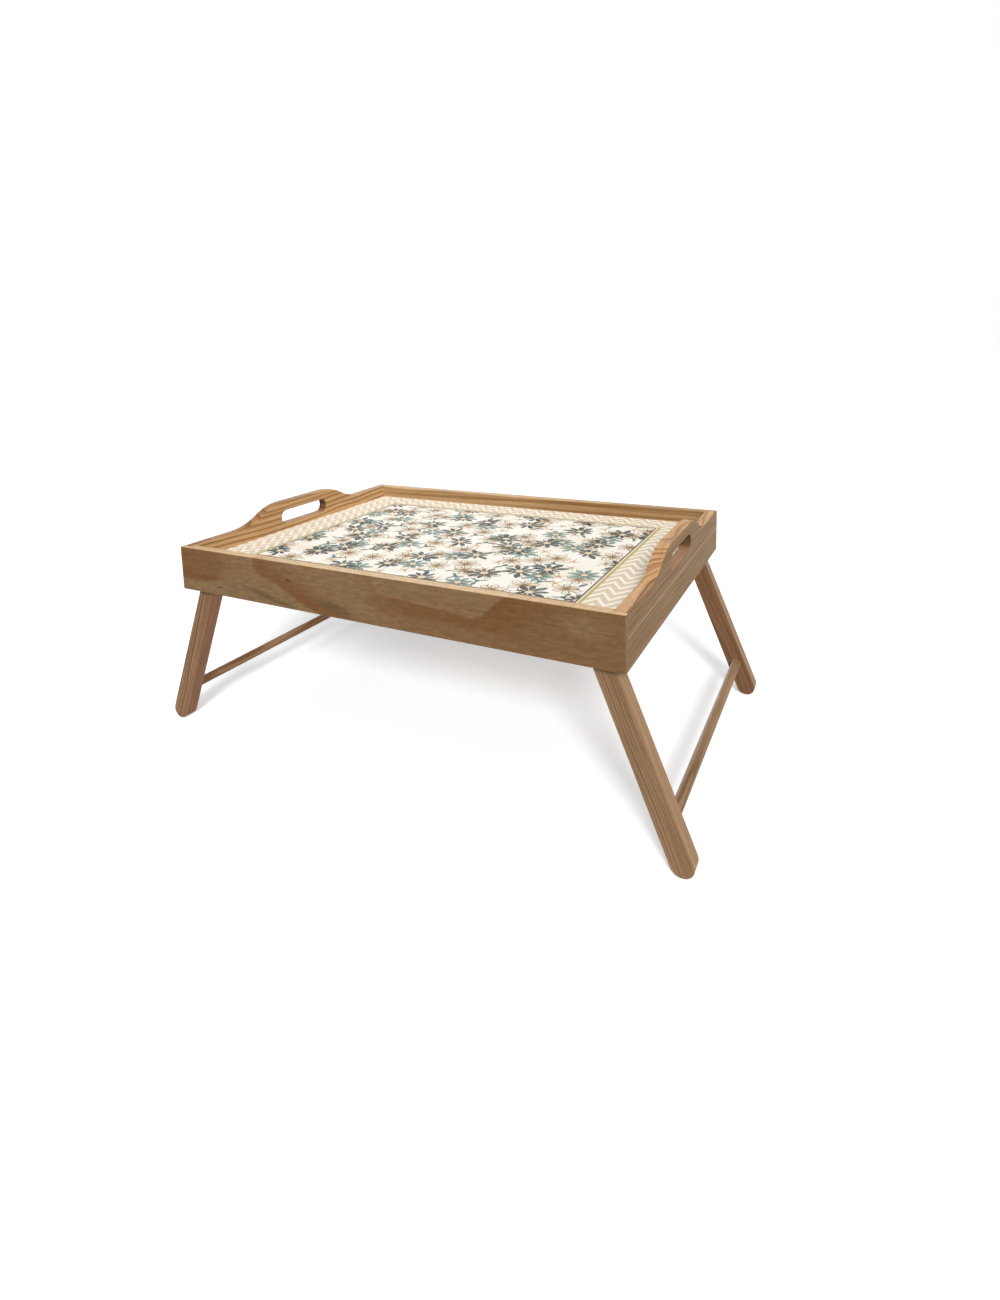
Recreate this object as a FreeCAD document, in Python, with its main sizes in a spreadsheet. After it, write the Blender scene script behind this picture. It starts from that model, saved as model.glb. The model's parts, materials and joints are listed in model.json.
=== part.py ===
"""Breakfast tray with folding legs: four pine rails round a printed panel, on two hinged leg frames.

Millimetres, +Z up. The origin lies on the floor midway between the four feet, X runs along the tray and
-Y is the front. The legs stand open, splayed outwards until they meet the end rails.
"""

import FreeCAD, Part
import math
import os
import re

import Sketcher

SIZES = {
    # Rails: side rails run the full length, end rails sit in rabbets at their ends
    "tray_length": 500.0,
    "tray_width": 380.0,
    "rail_height": 48.0,
    "side_rail_thickness": 11.0,
    "end_rail_thickness": 12.0,
    "corner_rabbet": 6.0,
    "edge_round": 0.8,
    # Handles: a level crest between two S-shaped runs, over a hand slot
    "handle_crest": 80.0,
    "handle_run": 80.0,
    "handle_rise": 20.0,
    "handle_shoulder_share": 0.45,
    "slot_length": 86.0,
    "slot_height": 17.0,
    "slot_cover": 11.5,
    # Bottom: a board in a groove of all four rails, under a printed sheet
    "panel_thickness": 4.0,
    "panel_groove": 5.0,
    "panel_play": 0.3,
    "panel_drop": 16.0,
    "sheet_thickness": 0.6,
    "sheet_margin": 0.3,
    # Legs: reach is from the pivot to the centre of the rounded foot
    "leg_width": 20.0,
    "leg_thickness": 16.0,
    "leg_reach": 186.0,
    "leg_splay": 22.0,
    "stop_clearance": 0.3,
    # Stretchers: round bars glued into blind holes in the legs
    "stretcher_diameter": 10.0,
    "stretcher_reach": 156.0,
    "stretcher_tenon": 10.0,
    "tenon_clearance": 0.05,
    # Pivots: a screw from the inside, through washer, leg and spacer into the side rail
    "pivot_rise": 14.0,
    "pivot_play": 0.3,
    "screw_diameter": 4.0,
    "screw_grip": 8.0,
    "screw_tip": 3.0,
    "bore_clearance": 0.05,
    "head_diameter": 8.0,
    "head_rim": 1.0,
    "head_height": 3.0,
    "recess_span": 4.4,
    "recess_width": 1.0,
    "recess_depth": 1.6,
    "washer_diameter": 10.0,
    "washer_thickness": 0.8,
    "spacer_diameter": 14.0,
    "spacer_thickness": 1.0,
}

# Places worked out from the sizes
END_RAIL_LENGTH = "(tray_width - 2 * (side_rail_thickness - corner_rabbet))"
INNER_LENGTH = "(tray_length - 2 * end_rail_thickness)"
INNER_WIDTH = "(tray_width - 2 * side_rail_thickness)"
PIVOT_HEIGHT = "(leg_reach * cos(leg_splay) + leg_width / 2)"
RAIL_BOTTOM = f"({PIVOT_HEIGHT} - pivot_rise)"
STOP_REACH = "((leg_width / 2 + stop_clearance + pivot_rise * sin(leg_splay)) / cos(leg_splay))"
PIVOT_X = f"({INNER_LENGTH} / 2 - {STOP_REACH})"
STRETCHER_X = f"({PIVOT_X} + stretcher_reach * sin(leg_splay))"
STRETCHER_HEIGHT = f"({PIVOT_HEIGHT} - stretcher_reach * cos(leg_splay))"
PANEL_SEAT = "(rail_height - panel_drop - sheet_thickness - panel_thickness)"
LEG_SETBACK = "(spacer_thickness + pivot_play)"
SCREW_STACK = "(spacer_thickness + 2 * pivot_play + leg_thickness + washer_thickness)"
HANDLE_BEND = "((handle_run * handle_run + handle_rise * handle_rise) / (2 * handle_rise))"

# A sketch's own axes, and the points of an edge, as sketches number them; the X axis starts at the origin
X_AXIS, Y_AXIS = range(-1, -3, -1)
START, END, CENTRE = range(1, 4)
ORIGIN = X_AXIS
NEAR = 1e-6

doc = FreeCAD.newDocument("breakfast_tray")
sheet = doc.addObject("Spreadsheet::Sheet", "Sizes")
for row, (name, value) in enumerate(SIZES.items(), start=1):
    sheet.set(f"A{row}", name)
    sheet.set(f"B{row}", str(value))
    sheet.setAlias(f"B{row}", name)
doc.recompute()


def bind(target, path, formula):
    """Tie a property to a formula of named sizes."""
    named = re.sub(r"[a-z]\w*", lambda word: f"Sizes.{word[0]}" if word[0] in SIZES else word[0], formula)
    target.setExpression(path, named)


def place(body, x="0", y="0", z="0", yaw="0", pitch="0"):
    bind(body, "Placement", f"placement(vector({x}; {y}; {z}); rotation({yaw}; {pitch}; 0))")


def new_body(label):
    body = doc.addObject("PartDesign::Body", label)
    body.Label = label
    return body


def plane(body, role):
    return next(feature for feature in body.Origin.OriginFeatures if feature.Role == role)


def new_sketch(body, role, x="0", y="0", z="0", turn=0):
    """A sketch on one of the body's own planes, moved to x, y in that plane and z along its normal."""
    sketch = body.newObject("Sketcher::SketchObject", "outline")
    sketch.AttachmentSupport = [(plane(body, role), "")]
    sketch.MapMode = "FlatFace"
    upright = FreeCAD.Vector(0, 0, 1)
    sketch.AttachmentOffset = FreeCAD.Placement(FreeCAD.Vector(), FreeCAD.Rotation(upright, turn))
    for axis, formula in zip("xyz", (x, y, z)):
        bind(sketch, f"AttachmentOffset.Base.{axis}", formula)
    return sketch


def constrain(sketch, kind, *places):
    return sketch.addConstraint(Sketcher.Constraint(kind, *places))


def dimension(sketch, kind, *places, formula):
    """A dimension whose first value is the drawn one and which then follows its formula."""
    index = constrain(sketch, kind, *places)
    bind(sketch, f"Constraints[{index}]", formula)


def line(sketch, start, end):
    return sketch.addGeometry(Part.LineSegment(FreeCAD.Vector(*start, 0), FreeCAD.Vector(*end, 0)))


def arc(sketch, centre, radius, first, last):
    """An arc drawn anticlockwise between two angles in degrees."""
    circle = Part.Circle(FreeCAD.Vector(*centre, 0), FreeCAD.Vector(0, 0, 1), radius)
    return sketch.addGeometry(Part.ArcOfCircle(circle, math.radians(first), math.radians(last)))


def rectangle(sketch, width, height):
    """A rectangle with its lower left corner at the sketch's origin."""
    corners = [(0, 0), (1, 0), (1, 1), (0, 1)]
    sides = [line(sketch, corners[i], corners[(i + 1) % len(corners)]) for i in range(len(corners))]
    for i, side in enumerate(sides):
        constrain(sketch, "Coincident", side, END, sides[(i + 1) % len(sides)], START)
        constrain(sketch, "Vertical" if i % 2 else "Horizontal", side)
    constrain(sketch, "Coincident", sides[0], START, ORIGIN, START)
    dimension(sketch, "DistanceX", sides[0], START, sides[0], END, 1, formula=width)
    dimension(sketch, "DistanceY", sides[1], START, sides[1], END, 1, formula=height)


def circle(sketch, diameter):
    ring = sketch.addGeometry(Part.Circle(FreeCAD.Vector(), FreeCAD.Vector(0, 0, 1), 1))
    constrain(sketch, "Coincident", ring, CENTRE, ORIGIN, START)
    dimension(sketch, "Diameter", ring, 1, formula=diameter)


def stadium(sketch, span, width):
    """A bar with round ends: the first is centred on the sketch's origin, the other a span below it."""
    top = arc(sketch, (0, 0), 1, 0, 180)
    left = line(sketch, (-1, 0), (-1, -1))
    bottom = arc(sketch, (0, -1), 1, 180, 360)
    right = line(sketch, (1, -1), (1, 0))
    outline = [top, left, bottom, right]
    for i, edge in enumerate(outline):
        constrain(sketch, "Tangent", edge, END, outline[(i + 1) % len(outline)], START)
    constrain(sketch, "Equal", top, bottom)
    constrain(sketch, "Coincident", top, CENTRE, ORIGIN, START)
    constrain(sketch, "PointOnObject", bottom, CENTRE, Y_AXIS)
    dimension(sketch, "DistanceY", bottom, CENTRE, ORIGIN, START, 1, formula=span)
    dimension(sketch, "Diameter", top, 1, formula=width)


def pad(body, sketch, length, backwards=False, both_ways=False):
    feature = body.newObject("PartDesign::Pad", "pad")
    feature.Profile = sketch
    feature.Reversed = backwards
    feature.Midplane = both_ways
    bind(feature, "Length", length)
    doc.recompute()


def pocket(body, sketch, depth=None):
    """Cut a sketch to a depth, or right through both ways, and make sure that it removes material."""
    before = body.Tip.Shape.Volume
    feature = body.newObject("PartDesign::Pocket", "pocket")
    feature.Profile = sketch
    if depth:
        bind(feature, "Length", depth)
    else:
        feature.Type = "ThroughAll"
        feature.Midplane = True
    doc.recompute()
    if feature.Shape.Volume >= before:
        raise ValueError(f"a cut in {body.Label} removes nothing")
    return feature


def mirror(body, features, role):
    feature = body.newObject("PartDesign::Mirrored", "mirror")
    feature.Originals = features
    feature.MirrorPlane = (plane(body, role), [""])
    body.Tip = feature
    doc.recompute()


def ease(body, chosen):
    """Round the edges whose two ends both pass the test."""
    tip = body.Tip
    edges = enumerate(tip.Shape.Edges, start=1)
    names = [f"Edge{i}" for i, edge in edges if len(edge.Vertexes) == 2 and chosen(*edge.Vertexes)]
    feature = body.newObject("PartDesign::Fillet", "eased_edges")
    feature.Base = (tip, names)
    bind(feature, "Radius", "edge_round")
    doc.recompute()


def same(first, second):
    return abs(first - second) < NEAR


def groove(body, length, rail_thickness):
    """The panel's groove, along the inner face of a rail."""
    depth = f"panel_groove - {rail_thickness}"
    seat = new_sketch(body, "XZ_Plane", x=f"-{length} / 2", y=PANEL_SEAT, z=depth)
    rectangle(seat, length, "panel_thickness + panel_play")
    pocket(body, seat, "panel_groove")


# Rails are drawn with the outer face at y = 0, the inner face towards +Y and the bottom at z = 0


def side_rail(label):
    body = new_body(label)
    board = new_sketch(body, "XY_Plane", x="-tray_length / 2")
    rectangle(board, "tray_length", "side_rail_thickness")
    pad(body, board, "rail_height")

    corner = new_sketch(body, "XY_Plane", x=f"{INNER_LENGTH} / 2", y="side_rail_thickness - corner_rabbet")
    rectangle(corner, "end_rail_thickness", "corner_rabbet")
    rabbet = pocket(body, corner)

    hole = new_sketch(body, "XZ_Plane", x=PIVOT_X, y="pivot_rise", z="screw_grip - side_rail_thickness")
    circle(hole, "screw_diameter")
    pilot = pocket(body, hole, "screw_grip")
    mirror(body, [rabbet, pilot], "YZ_Plane")

    groove(body, INNER_LENGTH, "side_rail_thickness")

    faces = (0, SIZES["side_rail_thickness"])

    def long_edge(start, end):
        along = same(start.Y, end.Y) and same(start.Z, end.Z)
        on_face = any(same(start.Y, face) for face in faces)
        return along and on_face and any(same(start.Z, z) for z in (0, SIZES["rail_height"]))

    ease(body, long_edge)
    return body


def end_rail_outline(sketch):
    """A board whose top edge rises from level shelves, through two S-shaped runs, to a level crest."""
    half = SIZES["tray_width"] / 2 - SIZES["side_rail_thickness"] + SIZES["corner_rabbet"]
    shelf = SIZES["rail_height"]
    crest = SIZES["handle_crest"] / 2
    foot = crest + SIZES["handle_run"]
    top = shelf + SIZES["handle_rise"]
    bend = (SIZES["handle_run"] ** 2 + SIZES["handle_rise"] ** 2) / (2 * SIZES["handle_rise"])
    shoulder = SIZES["handle_shoulder_share"] * bend
    hollow = bend - shoulder
    turn = 2 * math.degrees(math.atan2(SIZES["handle_rise"], SIZES["handle_run"]))

    base = line(sketch, (-half, 0), (half, 0))
    right_end = line(sketch, (half, 0), (half, shelf))
    right_shelf = line(sketch, (half, shelf), (foot, shelf))
    right_hollow = arc(sketch, (foot, shelf + hollow), hollow, -90 - turn, -90)
    right_shoulder = arc(sketch, (crest, top - shoulder), shoulder, 90 - turn, 90)
    level = line(sketch, (crest, top), (-crest, top))
    left_shoulder = arc(sketch, (-crest, top - shoulder), shoulder, 90, 90 + turn)
    left_hollow = arc(sketch, (-foot, shelf + hollow), hollow, -90, -90 + turn)
    left_shelf = line(sketch, (-foot, shelf), (-half, shelf))
    left_end = line(sketch, (-half, shelf), (-half, 0))

    corners = [(base, right_end), (right_end, right_shelf), (left_shelf, left_end), (left_end, base)]
    for first, second in corners:
        constrain(sketch, "Coincident", first, END, second, START)
    smooth_joints = [
        (right_shelf, END, right_hollow, END),
        (right_hollow, START, right_shoulder, START),
        (right_shoulder, END, level, START),
        (level, END, left_shoulder, START),
        (left_shoulder, END, left_hollow, END),
        (left_hollow, START, left_shelf, START),
    ]
    for joint in smooth_joints:
        constrain(sketch, "Tangent", *joint)
    for upright in (right_end, left_end):
        constrain(sketch, "Vertical", upright)
    for flat in (right_shelf, left_shelf):
        constrain(sketch, "Horizontal", flat)
    mirrored = [(base, START, base, END), (level, START, level, END), (right_shelf, END, left_shelf, START)]
    for pair in mirrored:
        constrain(sketch, "Symmetric", *pair, Y_AXIS)
    constrain(sketch, "PointOnObject", base, START, X_AXIS)
    constrain(sketch, "Equal", right_shoulder, left_shoulder)
    dimension(sketch, "DistanceX", base, START, base, END, 2 * half, formula=END_RAIL_LENGTH)
    dimension(sketch, "DistanceY", right_end, START, right_end, END, shelf, formula="rail_height")
    dimension(sketch, "DistanceX", level, END, level, START, 2 * crest, formula="handle_crest")
    dimension(sketch, "DistanceX", level, START, right_shelf, END, foot - crest, formula="handle_run")
    dimension(sketch, "DistanceY", right_shelf, END, level, START, top - shelf, formula="handle_rise")
    dimension(sketch, "Radius", right_shoulder, shoulder, formula=f"handle_shoulder_share * {HANDLE_BEND}")


def end_rail(label):
    body = new_body(label)
    board = new_sketch(body, "XZ_Plane")
    end_rail_outline(board)
    pad(body, board, "end_rail_thickness", backwards=True)

    span = "(slot_length - slot_height)"
    slot_centre = "rail_height + handle_rise - slot_cover - slot_height / 2"
    hand_slot = new_sketch(body, "XZ_Plane", x=f"-{span} / 2", y=slot_centre, turn=90)
    stadium(hand_slot, span, "slot_height")
    pocket(body, hand_slot)

    groove(body, END_RAIL_LENGTH, "end_rail_thickness")

    slot_top = SIZES["rail_height"] + SIZES["handle_rise"] - SIZES["slot_cover"]
    slot_bottom = slot_top - SIZES["slot_height"]
    lowest = min(SIZES["rail_height"], slot_bottom)
    faces = (0, SIZES["end_rail_thickness"])

    def handled_edge(start, end):
        on_face = any(same(start.Y, face) and same(end.Y, face) for face in faces)
        return on_face and min(start.Z, end.Z) > lowest - NEAR

    ease(body, handled_edge)
    return body


def flat_sheet(label, length, width, thickness):
    """A flat rectangular piece centred on its own origin, with its underside at z = 0."""
    body = new_body(label)
    outline = new_sketch(body, "XY_Plane", x=f"-({length}) / 2", y=f"-({width}) / 2")
    rectangle(outline, length, width)
    pad(body, outline, thickness)
    return body


def leg(label):
    """A leg drawn hanging from its pivot at the origin, with its outer face at y = 0."""
    body = new_body(label)
    bar = new_sketch(body, "XZ_Plane")
    stadium(bar, "leg_reach", "leg_width")
    pad(body, bar, "leg_thickness", backwards=True)

    bore = new_sketch(body, "XZ_Plane")
    circle(bore, "screw_diameter + 2 * bore_clearance")
    pocket(body, bore)

    socket = new_sketch(body, "XZ_Plane", y="-stretcher_reach", z="stretcher_tenon - leg_thickness")
    circle(socket, "stretcher_diameter + 2 * tenon_clearance")
    pocket(body, socket, "stretcher_tenon")

    faces = (0, SIZES["leg_thickness"])

    def outline_edge(start, end):
        return any(same(start.Y, face) and same(end.Y, face) for face in faces)

    ease(body, outline_edge)
    return body


def stretcher(label):
    body = new_body(label)
    end = new_sketch(body, "XZ_Plane")
    circle(end, "stretcher_diameter")
    between_legs = f"({INNER_WIDTH} - 2 * ({LEG_SETBACK} + leg_thickness - stretcher_tenon))"
    pad(body, end, between_legs, both_ways=True)
    return body


def pivot_screw(label):
    """A domed screw along +Y: its point is sunk in the rail, whose inner face is at y = 0."""
    radius = SIZES["screw_diameter"] / 2
    grip = SIZES["screw_grip"]
    tip = SIZES["screw_tip"]
    head = SIZES["head_diameter"] / 2
    rim = SIZES["head_rim"]
    crown = SIZES["head_height"]
    stack = ("spacer_thickness", "pivot_play", "leg_thickness", "pivot_play", "washer_thickness")
    seat = sum(SIZES[name] for name in stack)
    dome = (head**2 + (crown - rim) ** 2) / (2 * (crown - rim))
    edge_angle = math.degrees(math.asin((dome - crown + rim) / dome))

    body = new_body(label)
    half = new_sketch(body, "XY_Plane")
    point = line(half, (0, -grip), (radius, tip - grip))
    shank = line(half, (radius, tip - grip), (radius, seat))
    under_head = line(half, (radius, seat), (head, seat))
    head_side = line(half, (head, seat), (head, seat + rim))
    head_top = arc(half, (0, seat + crown - dome), dome, edge_angle, 90)
    axis = line(half, (0, seat + crown), (0, -grip))
    outline = [point, shank, under_head, head_side, head_top, axis]
    for i, edge in enumerate(outline):
        constrain(half, "Coincident", edge, END, outline[(i + 1) % len(outline)], START)
    for upright in (shank, head_side):
        constrain(half, "Vertical", upright)
    constrain(half, "Horizontal", under_head)
    for on_axis in ((axis, START), (axis, END), (head_top, CENTRE)):
        constrain(half, "PointOnObject", *on_axis, Y_AXIS)
    dimension(half, "DistanceY", point, START, ORIGIN, START, grip, formula="screw_grip")
    dimension(half, "DistanceY", point, START, point, END, tip, formula="screw_tip")
    dimension(half, "DistanceX", ORIGIN, START, shank, START, radius, formula="screw_diameter / 2")
    dimension(half, "DistanceY", ORIGIN, START, under_head, START, seat, formula=SCREW_STACK)
    dimension(half, "DistanceX", ORIGIN, START, under_head, END, head, formula="head_diameter / 2")
    dimension(half, "DistanceY", head_side, START, head_side, END, rim, formula="head_rim")
    dimension(half, "DistanceY", head_side, START, axis, START, crown, formula="head_height")
    turned = body.newObject("PartDesign::Revolution", "turned")
    turned.Profile = half
    turned.ReferenceAxis = (half, ["V_Axis"])
    doc.recompute()

    recess_floor = f"recess_depth - head_height - {SCREW_STACK}"
    for across, up in (("recess_span", "recess_width"), ("recess_width", "recess_span")):
        bar = new_sketch(body, "XZ_Plane", x=f"-{across} / 2", y=f"-{up} / 2", z=recess_floor)
        rectangle(bar, across, up)
        pocket(body, bar, "recess_depth")
    return body


def washer(label, diameter, thickness):
    """A ring along +Y with its first face at y = 0."""
    body = new_body(label)
    disc = new_sketch(body, "XZ_Plane")
    circle(disc, diameter)
    pad(body, disc, thickness, backwards=True)
    bore = new_sketch(body, "XZ_Plane")
    circle(bore, "screw_diameter + 2 * bore_clearance")
    pocket(body, bore)
    return body


def build_tray():
    place(side_rail("front_rail"), y="-tray_width / 2", z=RAIL_BOTTOM)
    place(side_rail("back_rail"), y="tray_width / 2", z=RAIL_BOTTOM, yaw="180")
    place(end_rail("left_end_rail"), x="-tray_length / 2", z=RAIL_BOTTOM, yaw="-90")
    place(end_rail("right_end_rail"), x="tray_length / 2", z=RAIL_BOTTOM, yaw="90")

    board_edge = "2 * (panel_groove - panel_play)"
    board = flat_sheet(
        "tray_panel",
        f"{INNER_LENGTH} + {board_edge}",
        f"{INNER_WIDTH} + {board_edge}",
        "panel_thickness",
    )
    place(board, z=f"{RAIL_BOTTOM} + {PANEL_SEAT}")
    print_edge = "2 * sheet_margin"
    printed = flat_sheet(
        "printed_sheet",
        f"{INNER_LENGTH} - {print_edge}",
        f"{INNER_WIDTH} - {print_edge}",
        "sheet_thickness",
    )
    place(printed, z=f"{RAIL_BOTTOM} + {PANEL_SEAT} + panel_thickness")


def build_leg_frame(side, sign):
    """One pair of legs with its stretcher and its two pivots; sign is where the side lies along X."""
    for row, front, yaw in (("front", "-", "0"), ("back", "", "180")):
        label = f"{side}_{row}"

        def at_pivot(body, inset, pitch="0"):
            """Set a piece on the pivot's axis, inset from the side rail's inner face."""
            depth = f"{front}({INNER_WIDTH} / 2 - ({inset}))"
            place(body, x=f"{sign}{PIVOT_X}", y=depth, z=PIVOT_HEIGHT, yaw=yaw, pitch=pitch)

        outwards = "-leg_splay" if (sign == "") == (row == "front") else "leg_splay"
        at_pivot(leg(f"{label}_leg"), LEG_SETBACK, pitch=outwards)
        at_pivot(pivot_screw(f"{label}_pivot_screw"), "0")
        at_pivot(washer(f"{label}_spacer_washer", "spacer_diameter", "spacer_thickness"), "0")
        head_washer = washer(f"{label}_head_washer", "washer_diameter", "washer_thickness")
        at_pivot(head_washer, f"{SCREW_STACK} - washer_thickness")
    place(stretcher(f"{side}_stretcher"), x=f"{sign}{STRETCHER_X}", z=STRETCHER_HEIGHT)


def write_parts():
    """Stop on any failed object or unsound solid, then write one file for each piece."""
    doc.recompute()
    failed = [item.Label for item in doc.Objects if {"Invalid", "Error"} & set(item.State)]
    bodies = [item for item in doc.Objects if item.TypeId == "PartDesign::Body"]
    for body in bodies:
        if body.Shape.isNull() or not body.Shape.isValid() or len(body.Shape.Solids) != 1:
            failed.append(body.Label)
    if failed:
        raise ValueError(f"failed pieces: {sorted(set(failed))}")
    os.makedirs("parts", exist_ok=True)
    for body in bodies:
        body.Shape.exportStep(f"parts/{body.Label}.step")
    print(f"wrote {len(bodies)} pieces")


build_tray()
build_leg_frame("right", "")
build_leg_frame("left", "-")
write_parts()
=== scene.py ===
# %% [markdown]
# A breakfast tray with folding legs, dressed in Blender round its CAD model.
# The CAD model gives every piece its place and size, in metres, with X along the tray and Z up. The tray
# could be modelled again as Blender meshes, but its rails, legs and pivots are plain solid joinery, and the
# CAD model already holds them exactly. So nothing here moves or reshapes a piece: this file sets up the
# camera of the product picture, gives each piece its finish, and lights it all on a pale floor.

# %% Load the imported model
import bpy
import json
import math
from mathutils import Matrix, Vector


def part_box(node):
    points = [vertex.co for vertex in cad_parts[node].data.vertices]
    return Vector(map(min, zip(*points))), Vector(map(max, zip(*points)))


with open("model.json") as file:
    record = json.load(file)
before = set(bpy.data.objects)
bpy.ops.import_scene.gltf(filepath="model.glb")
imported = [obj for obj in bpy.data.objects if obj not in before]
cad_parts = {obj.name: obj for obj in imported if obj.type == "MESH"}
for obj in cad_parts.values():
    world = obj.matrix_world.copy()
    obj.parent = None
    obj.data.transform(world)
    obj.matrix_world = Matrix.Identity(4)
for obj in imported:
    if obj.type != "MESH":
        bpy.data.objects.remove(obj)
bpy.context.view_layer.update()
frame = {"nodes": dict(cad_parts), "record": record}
MM = 0.001

# %% [markdown]
# The picture is taken from the right of the tray's front, a little above its rim, with a wide lens from
# close by, so the near corner looms and the far one shrinks. A camera could be turned by eye until it looks
# right, but a tray has many straight edges, and their vanishing lines give its place and turn. The picture
# is a crop, so its optical centre isn't in the middle of the frame: a lens shift puts it back without
# tilting the uprights.

# %% Camera
IMAGE_WIDTH, IMAGE_HEIGHT = 1000, 1300
CAMERA_PLACE = Vector((0.4050, -0.7115, 0.4252))
CAMERA_YAW, CAMERA_PITCH, CAMERA_ROLL = 29.44, 7.91, -1.91
FOCAL_LENGTH_PIXELS = 722.8
OPTICAL_CENTRE_PIXELS = (462.1, 446.5)
SENSOR = 36.0

long_side = max(IMAGE_WIDTH, IMAGE_HEIGHT)
camera = bpy.data.objects.new("camera", bpy.data.cameras.new("camera"))
bpy.context.scene.collection.objects.link(camera)
bpy.context.scene.camera = camera
camera.data.sensor_width = SENSOR
camera.data.lens = FOCAL_LENGTH_PIXELS / long_side * SENSOR
camera.data.shift_x = (IMAGE_WIDTH / 2 - OPTICAL_CENTRE_PIXELS[0]) / long_side
camera.data.shift_y = (OPTICAL_CENTRE_PIXELS[1] - IMAGE_HEIGHT / 2) / long_side
turn = (
    Matrix.Rotation(math.radians(CAMERA_YAW), 4, "Z")
    @ Matrix.Rotation(math.radians(90 - CAMERA_PITCH), 4, "X")
    @ Matrix.Rotation(math.radians(CAMERA_ROLL), 4, "Z")
)
camera.matrix_world = Matrix.Translation(CAMERA_PLACE) @ turn
print("lens:", round(camera.data.lens, 2), "mm")

# %% Camera: where the front rail lands


def pixel_of(point):
    """Where a point lands in the picture, in pixels from its top left corner."""
    seen = camera.matrix_world.inverted() @ Vector(point)
    across = OPTICAL_CENTRE_PIXELS[0] - FOCAL_LENGTH_PIXELS * seen.x / seen.z
    down = OPTICAL_CENTRE_PIXELS[1] + FOCAL_LENGTH_PIXELS * seen.y / seen.z
    return round(across, 1), round(down, 1)


front_low, front_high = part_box("front_rail")
print("front rail's top corners:", pixel_of((front_low.x, front_low.y, front_high.z)),
      pixel_of((front_high.x, front_low.y, front_high.z)))

# %% [markdown]
# Every finish below is a small network of shader nodes. A finish could be a painted picture wrapped round
# the piece, but sums on the piece's own coordinates need no unwrapping, stay sharp from close by, and can be
# tuned one number at a time. A few helpers keep the networks readable. An input takes a number, a colour or
# another node's output.

# %% Helpers for shader nodes


def put(tree, kind, values=(), **settings):
    """Adds a node; values pairs an input's name or number with what feeds it."""
    made = tree.nodes.new(kind)
    for name, setting in settings.items():
        setattr(made, name, setting)
    for key, value in dict(values).items():
        if isinstance(value, bpy.types.NodeSocket):
            tree.links.new(value, made.inputs[key])
        else:
            made.inputs[key].default_value = value
    return made


def calc(tree, operation, *values):
    """The result of one sum."""
    return put(tree, "ShaderNodeMath", enumerate(values), operation=operation).outputs[0]


def vector_calc(tree, operation, *values):
    """The vector that one sum of vectors gives."""
    return put(tree, "ShaderNodeVectorMath", enumerate(values), operation=operation).outputs[0]


def product(tree, first, *others):
    """All the values multiplied together."""
    for other in others:
        first = calc(tree, "MULTIPLY", first, other)
    return first


def soft_step(tree, value, start, end, low=0.0, high=1.0):
    """Goes smoothly from low to high as the value goes from start to end."""
    limits = {"Value": value, "From Min": start, "From Max": end, "To Min": low, "To Max": high}
    return put(tree, "ShaderNodeMapRange", limits, interpolation_type="SMOOTHSTEP").outputs[0]


print("node helpers ready")

# %% [markdown]
# Several finishes share an effect, such as grain or worn edges. Its nodes could be added to every material
# again, but a node group is built once, with named inputs and outputs, and placed in each material with
# values of its own. A change to the group then reaches them all.

# %% Helpers for node groups
SOCKETS = {"value": "NodeSocketFloat", "vector": "NodeSocketVector", "colour": "NodeSocketColor"}


def new_group(name, inputs, outputs):
    """A node group with sockets named by kind; returns it with what comes in and what goes out."""
    group = bpy.data.node_groups.new(name, "ShaderNodeTree")
    for sockets, direction in ((inputs, "INPUT"), (outputs, "OUTPUT")):
        for kind, labels in sockets.items():
            for label in labels:
                group.interface.new_socket(name=label, in_out=direction, socket_type=SOCKETS[kind])
    return group, put(group, "NodeGroupInput").outputs, put(group, "NodeGroupOutput").inputs


def put_out(group, result, made):
    """Links what a group made to its outputs, by name, and tells how large it is."""
    for label, socket in made.items():
        group.links.new(socket, result[label])
    print("group:", group.name, len(group.nodes), "nodes")


def use(tree, group, values):
    """Places a group in a tree; returns its outputs."""
    return put(tree, "ShaderNodeGroup", values, node_tree=group).outputs


print("socket kinds:", ", ".join(SOCKETS))

# %% [markdown]
# Pine shows its growth rings. Stripes could be laid on each face with a wave texture, but they wouldn't meet
# at the board's edges. A board is a slice of a trunk, so here the rings are worked out in the solid: the
# distance from the trunk's centre line, divided by a ring's width, counts the rings. A face cut along the
# trunk then shows stripes, a slanting cut shows wide flames, and end grain shows arcs, as in real timber. A
# slow noise lets the trunk wander, and a second one makes some years wider than others.

# %% Helpers for places and noise
NOISE_MIDDLE = 0.5


def split(tree, vector):
    """The X, Y and Z of a vector."""
    return put(tree, "ShaderNodeSeparateXYZ", {0: vector}).outputs[:]


def cloud(tree, place, lumps, detail=2.0):
    """Noise from 0 to 1, with so many lumps per metre along X, Y and Z."""
    dense = vector_calc(tree, "MULTIPLY", place, lumps)
    return put(tree, "ShaderNodeTexNoise", {"Vector": dense, "Scale": 1.0, "Detail": detail}).outputs[0]


def squares(tree, first, second):
    """The sum of two squares."""
    return calc(tree, "ADD", product(tree, first, first), product(tree, second, second))


print("noise helpers ready")

# %% Node group: growth rings
WANDER_LUMPS = (5.0, 26.0, 26.0)
UNEVEN_LUMPS, UNEVEN_YEARS = 0.7, 1.1

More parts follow.
